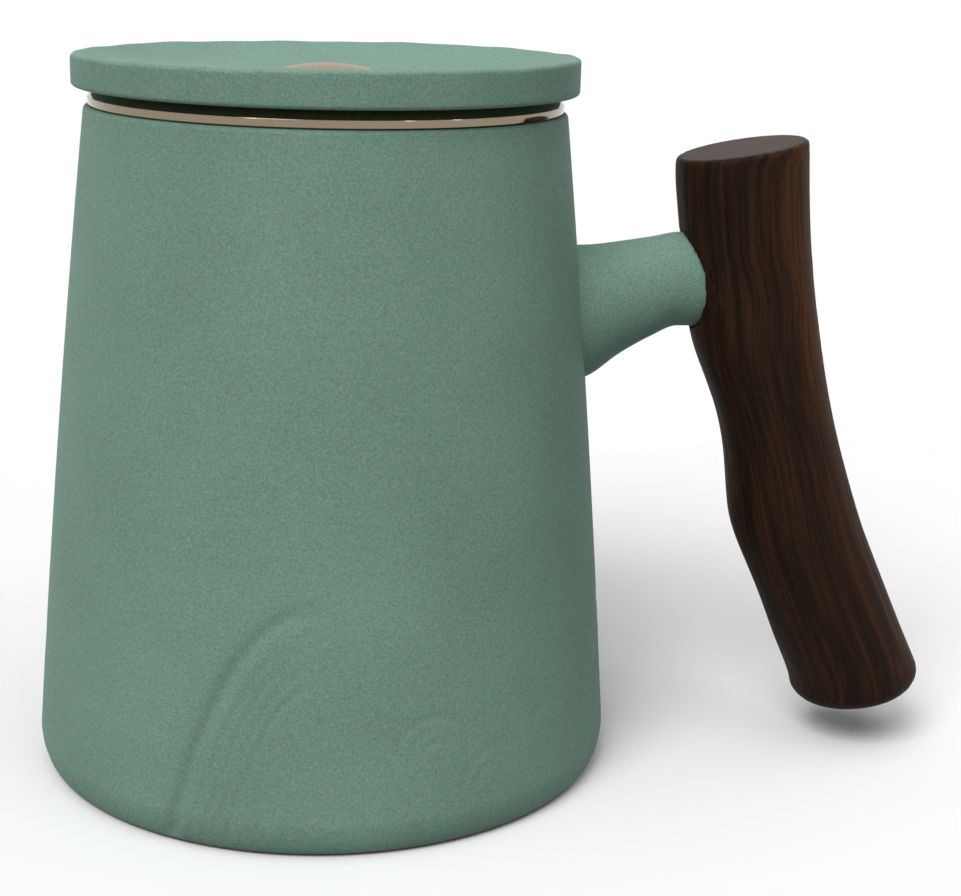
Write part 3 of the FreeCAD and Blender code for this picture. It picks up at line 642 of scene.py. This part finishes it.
def maths(tree, operation, *values):
    """The result of a maths node on values or sockets."""
    node = tree.nodes.new("ShaderNodeMath")
    node.operation = operation
    for socket, value in zip(node.inputs, values):
        feed(socket, value)
    return node.outputs[0]


def mix(tree, factor, first, second, data_type="RGBA", blend_type="MIX"):
    """The result of mixing two colours or numbers by a factor."""
    node = tree.nodes.new("ShaderNodeMix")
    node.data_type = data_type
    node.blend_type = blend_type
    *places, result = MIX_SOCKETS[data_type]
    for socket, value in zip(places, (factor, first, second)):
        feed(node.inputs[socket], value)
    return node.outputs[result]


def ramp(tree, factor, stops):
    """The colour of a ramp at a factor, with (place, colour) stops."""
    node = add(tree, "ShaderNodeValToRGB", Fac=factor)
    elements = node.color_ramp.elements
    while len(elements) < len(stops):
        elements.new(0.5)
    for element, (place, colour) in zip(elements, stops):
        element.position = place
        element.color = (*colour, 1)
    return node.outputs["Color"]


def noise_texture(tree, place, **inputs):
    """The value of a noise texture at a place."""
    return add(tree, "ShaderNodeTexNoise", Vector=place, **inputs).outputs["Fac"]


def stretched_noise(tree, place, scale, **inputs):
    """The value of a noise texture with a scale of its own along each axis."""
    mapping = add(tree, "ShaderNodeMapping", Vector=place, Scale=scale)
    return noise_texture(tree, mapping.outputs["Vector"], Scale=1.0, **inputs)


def attribute(tree, name):
    """The outputs of a node that reads one of the mesh's attributes."""
    node = tree.nodes.new("ShaderNodeAttribute")
    node.attribute_name = name
    return node.outputs


def up_share(tree, vector, low, high):
    """0 where a vector's Z is at most low, 1 where it is at least high."""
    z = add(tree, "ShaderNodeSeparateXYZ", Vector=vector).outputs["Z"]
    return add(tree, "ShaderNodeMapRange", Value=z, From_Min=low, From_Max=high).outputs["Result"]


def bump(tree, height, strength, distance):
    """A normal that is roughened by a height, with distance in metres."""
    node = add(tree, "ShaderNodeBump", Height=height, Strength=strength, Distance=distance)
    return node.outputs["Normal"]


# Materials.

SPECKLE_SHIFT = (0.1, 0.2, 0.3)
FINE_SHARE = 0.75
MOTTLE_CONTRAST = 0.2


def linear(red, green, blue):
    """An sRGB colour, 0 to 255, as linear light."""
    values = np.array([red, green, blue]) / 255
    return tuple(np.where(values <= 0.04045, values / 12.92, ((values + 0.055) / 1.055) ** 2.4))


def principled(name):
    """A new material and its Principled shader."""
    material = bpy.data.materials.new(name)
    material.use_nodes = True
    shader = material.node_tree.nodes["Principled BSDF"]
    return material, shader


def glaze(name, colour, foot_band=None):
    """Matt, fine-grained glaze. Given a foot colour, the foot's lowest half millimetre takes that darker
    brown.
    """
    material, shader = principled(name)
    tree = material.node_tree
    place = add(tree, "ShaderNodeTexCoord").outputs["Object"]
    mottle = noise_texture(tree, place, Scale=3000.0, Detail=2.0, Roughness=0.6)
    cloud = noise_texture(tree, place, Scale=38.0, Detail=2.0)
    fine = maths(tree, "MULTIPLY", mottle, FINE_SHARE)
    blend = maths(tree, "MULTIPLY_ADD", cloud, 1 - FINE_SHARE, fine)
    dark = tuple(channel * (1 - MOTTLE_CONTRAST) for channel in colour)
    light = tuple(channel * (1 + MOTTLE_CONTRAST) for channel in colour)
    tone = ramp(tree, blend, [(0.36, dark), (0.64, light)])
    shifted = add(tree, "ShaderNodeVectorMath", Vector=place)
    feed(shifted.inputs[1], SPECKLE_SHIFT)
    speckle = noise_texture(tree, shifted.outputs[0], Scale=2300.0, Detail=1.0)
    hue = ramp(tree, speckle, [(0.38, (0.90, 1.02, 1.0)), (0.62, (1.10, 0.98, 1.0))])
    result = mix(tree, 1.0, tone, hue, blend_type="MULTIPLY")
    if foot_band:
        glazed = up_share(tree, place, FOOT_BAND_HEIGHT * MM, (FOOT_BAND_HEIGHT + FOOT_BAND_FADE) * MM)
        result = mix(tree, glazed, (*foot_band, 1), result)
    grains = noise_texture(tree, place, Scale=1700.0, Detail=2.0, Roughness=0.55)
    normal = bump(tree, grains, strength=0.42, distance=0.00016)
    set_inputs(shader, Base_Color=result, Roughness=0.66, Specular_IOR_Level=0.2, Normal=normal)
    return material


HEARTWOOD = [
    (0.30, linear(22, 14, 9)),
    (0.46, linear(36, 24, 16)),
    (0.58, linear(50, 32, 21)),
    (0.72, linear(32, 20, 13)),
]
SAPWOOD = [(0.32, linear(42, 25, 14)), (0.55, linear(70, 43, 24)), (0.75, linear(47, 28, 16))]
END_GRAIN = [(0.34, linear(46, 37, 33)), (0.52, linear(74, 64, 60)), (0.70, linear(56, 47, 43))]
FINE_LINES = [(0.36, (0.62, 0.60, 0.58)), (0.64, (1.4, 1.36, 1.3))]
# A face counts as a sawn end where its normal's upward part passes between these.
SAWN_END = (0.80, 0.93)


def wood(name):
    """Dark oiled hardwood, its grain along the grip, with a paler band of sapwood and pale ends."""
    material, shader = principled(name)
    tree = material.node_tree
    place = attribute(tree, "grain_place")["Vector"]
    streaks = stretched_noise(
        tree, place, (620.0, 620.0, 24.0), Detail=4.0, Roughness=0.6, Distortion=0.35
    )
    lines = stretched_noise(tree, place, (1500.0, 1500.0, 34.0), Detail=3.0, Roughness=0.55)
    rings = stretched_noise(tree, place, (260.0, 900.0, 60.0), Detail=4.0, Roughness=0.65)
    heart = ramp(tree, streaks, HEARTWOOD)
    sap = ramp(tree, streaks, SAPWOOD)
    body = mix(tree, attribute(tree, "sapwood")["Fac"], heart, sap)
    grained = mix(tree, 1.0, body, ramp(tree, lines, FINE_LINES), blend_type="MULTIPLY")
    facing = add(tree, "ShaderNodeNewGeometry").outputs["Normal"]
    colour = mix(tree, up_share(tree, facing, *SAWN_END), grained, ramp(tree, rings, END_GRAIN))
    normal = bump(tree, lines, strength=0.5, distance=0.00012)
    set_inputs(shader, Base_Color=colour, Roughness=0.6, Specular_IOR_Level=0.07, Normal=normal)
    return material


def metal(name, colour, roughness):
    """A plain metal."""
    material, shader = principled(name)
    set_inputs(shader, Base_Color=(*colour, 1), Metallic=1.0, Roughness=roughness)
    return material


def adhesive(name, colour):
    """A plain set adhesive."""
    material, shader = principled(name)
    set_inputs(shader, Base_Color=(*colour, 1))
    return material


def dress(obj, material):
    """Gives an object one material."""
    obj.data.materials.clear()
    obj.data.materials.append(material)


# The pieces and their materials.

GLAZE = linear(117, 149, 134)
# A darker brown for the foot's lowest half millimetre, which draws a thin dark line round the base.
FOOT_BAND_BROWN = linear(84, 62, 50)

mug = make_mug()
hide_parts("mug_body")
stub = make_stub()
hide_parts("handle_stub")
lid = make_lid()
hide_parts("lid")
grip = make_grip()
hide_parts("handle_grip")
badge = make_badge()
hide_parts("lid_badge")
rim = make_rim()
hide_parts("infuser_rim")

glaze_plain = glaze("glaze_plain", GLAZE)
satin = metal("satin_sieve", linear(172, 168, 162), 0.32)
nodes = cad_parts
for piece, material in (
    (mug, glaze("glaze_body", GLAZE, FOOT_BAND_BROWN)),
    (stub, glaze_plain),
    (lid, glaze_plain),
    (grip, wood("dark_wood")),
    (badge, metal("badge_gold", linear(148, 121, 82), 0.34)),
    (rim, metal("polished_rim", linear(142, 129, 110), 0.09)),
    (nodes["infuser_wall"], satin),
    (nodes["infuser_base"], satin),
    (nodes["grip_insert"], metal("insert_brass", linear(200, 168, 98), 0.3)),
    (nodes["handle_stud"], metal("stud_steel", linear(160, 160, 160), 0.35)),
    (nodes["stud_adhesive"], adhesive("set_adhesive", linear(196, 188, 164))),
):
    dress(piece, material)


# Camera.

# Its place in millimetres, its angles in degrees, and its focal length in pixels of the photograph.
CAMERA_PLACE = (0.0, -320.11, 140.54)
CAMERA_YAW = 4.821
CAMERA_PITCH = 15.129
CAMERA_ROLL = -1.566
FOCAL_PIXELS = 1895.57
IMAGE_WIDTH = 961


def make_camera():
    """The camera at the photograph's place: yaw to the right, pitch down, then roll."""
    yaw, pitch, roll = (math.radians(a) for a in (CAMERA_YAW, CAMERA_PITCH, CAMERA_ROLL))
    forward = Vector(
        (math.sin(yaw) * math.cos(pitch), math.cos(yaw) * math.cos(pitch), -math.sin(pitch))
    )
    right = Vector((math.cos(yaw), -math.sin(yaw), 0))
    down = forward.cross(right)
    turned_right = math.cos(roll) * right + math.sin(roll) * down
    turned_down = -math.sin(roll) * right + math.cos(roll) * down
    data = bpy.data.cameras.new("camera")
    data.sensor_width = 36.0
    data.lens = FOCAL_PIXELS * data.sensor_width / IMAGE_WIDTH
    data.clip_start = 0.01
    camera = bpy.data.objects.new("camera", data)
    scene.collection.objects.link(camera)
    axes = Matrix((turned_right, -turned_down, -forward)).transposed()
    camera.matrix_world = Matrix.Translation(Vector(CAMERA_PLACE) * MM) @ axes.to_4x4()
    scene.camera = camera


make_camera()


# Floor and light.

FLOOR_REACH = 6.0
FLOOR_WHITE = 0.97
FLOOR_BOUNCE = 0.25
SKY_LEVEL = 0.25


def seen_by_eye(tree):
    """1 for camera, glossy and transmission rays, else 0."""
    path = tree.nodes.new("ShaderNodeLightPath")
    direct = maths(tree, "MAXIMUM", path.outputs["Is Camera Ray"], path.outputs["Is Glossy Ray"])
    return maths(tree, "MAXIMUM", direct, path.outputs["Is Transmission Ray"])


def grey_diffuse(tree, grey):
    """The shader of a matt grey."""
    return add(tree, "ShaderNodeBsdfDiffuse", Color=(grey, grey, grey, 1)).outputs[0]


def make_floor():
    """A pale floor: white where the camera or a reflection sees it, dimmer as a source of light."""
    mesh = bpy.data.meshes.new("floor")
    signs = ((-1, -1), (1, -1), (1, 1), (-1, 1))
    mesh.from_pydata([(FLOOR_REACH * x, FLOOR_REACH * y, 0) for x, y in signs], [], [(0, 1, 2, 3)])
    floor = bpy.data.objects.new("floor", mesh)
    scene.collection.objects.link(floor)
    material = bpy.data.materials.new("floor")
    material.use_nodes = True
    tree = material.node_tree
    tree.nodes.clear()
    blend = tree.nodes.new("ShaderNodeMixShader")
    shaders = (grey_diffuse(tree, FLOOR_BOUNCE), grey_diffuse(tree, FLOOR_WHITE))
    for socket, value in zip(blend.inputs, (seen_by_eye(tree), *shaders)):
        feed(socket, value)
    add(tree, "ShaderNodeOutputMaterial", Surface=blend.outputs[0])
    mesh.materials.append(material)


def make_world():
    """White to the eye, a level grey as a source of light."""
    world = bpy.data.worlds.new("world")
    scene.world = world
    world.use_nodes = True
    tree = world.node_tree
    strength = mix(tree, seen_by_eye(tree), SKY_LEVEL, 1.0, data_type="FLOAT")
    set_inputs(tree.nodes["Background"], Color=(1, 1, 1, 1), Strength=strength)


def make_sun(name, bearing, elevation, strength, softness):
    """A soft sun. Bearing is in degrees from the front, positive to the right of the mug."""
    data = bpy.data.lights.new(name, "SUN")
    data.energy = strength * math.pi
    data.angle = math.radians(softness)
    sun = bpy.data.objects.new(name, data)
    scene.collection.objects.link(sun)
    across, rise = math.radians(bearing), math.radians(elevation)
    towards = Vector(
        (math.sin(across) * math.cos(rise), -math.cos(across) * math.cos(rise), math.sin(rise))
    )
    sun.rotation_mode = "QUATERNION"
    sun.rotation_quaternion = towards.to_track_quat("Z", "Y")


make_floor()
make_world()
make_sun("key", bearing=-31, elevation=47, strength=0.57, softness=32)
make_sun("overhead", bearing=20, elevation=82, strength=0.34, softness=70)
# Three small lamps that only glint in the polished rim.
for glint_bearing in (-37, 40, 66):
    make_sun(f"glint_{glint_bearing}", glint_bearing, elevation=24, strength=0.03, softness=5)

scene.view_settings.view_transform = "Standard"
